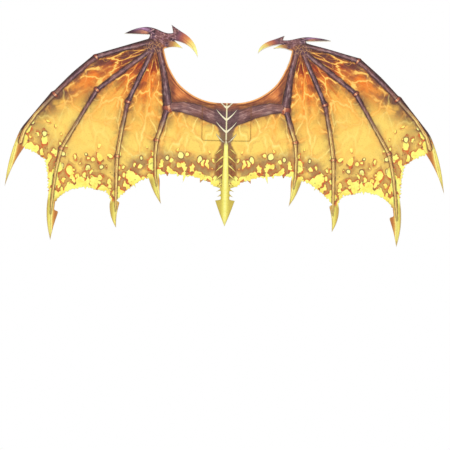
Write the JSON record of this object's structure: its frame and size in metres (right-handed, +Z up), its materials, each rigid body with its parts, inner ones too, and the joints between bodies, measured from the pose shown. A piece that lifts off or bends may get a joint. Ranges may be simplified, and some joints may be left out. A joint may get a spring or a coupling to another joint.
{
  "type": "costume dragon wings",
  "caption": "Felt costume wings cut as one bat-like panel with hooked thumbs, claws and a barbed tail, worn on the back on elastic shoulder loops.",
  "frame": {"origin": "middle of the patch, on the face that lies against the wearer's back between the shoulder blades", "axes": "+Z up, +Y the way the wearer faces, +X the wearer's right; the printed side looks along -Y"},
  "size_m": [0.8305, 0.22, 0.4224],
  "materials": {
    "printed_felt": "matte non-woven felt, printed with a fiery membrane and dark finger bones",
    "plain_felt": "matte off-white non-woven felt",
    "elastic": "black woven elastic webbing"
  },
  "bodies": {
    "root": {"wing_panel": "printed_felt", "strap_patch": "plain_felt", "strap_left": "elastic", "strap_right": "elastic"}
  },
  "joints": []
}
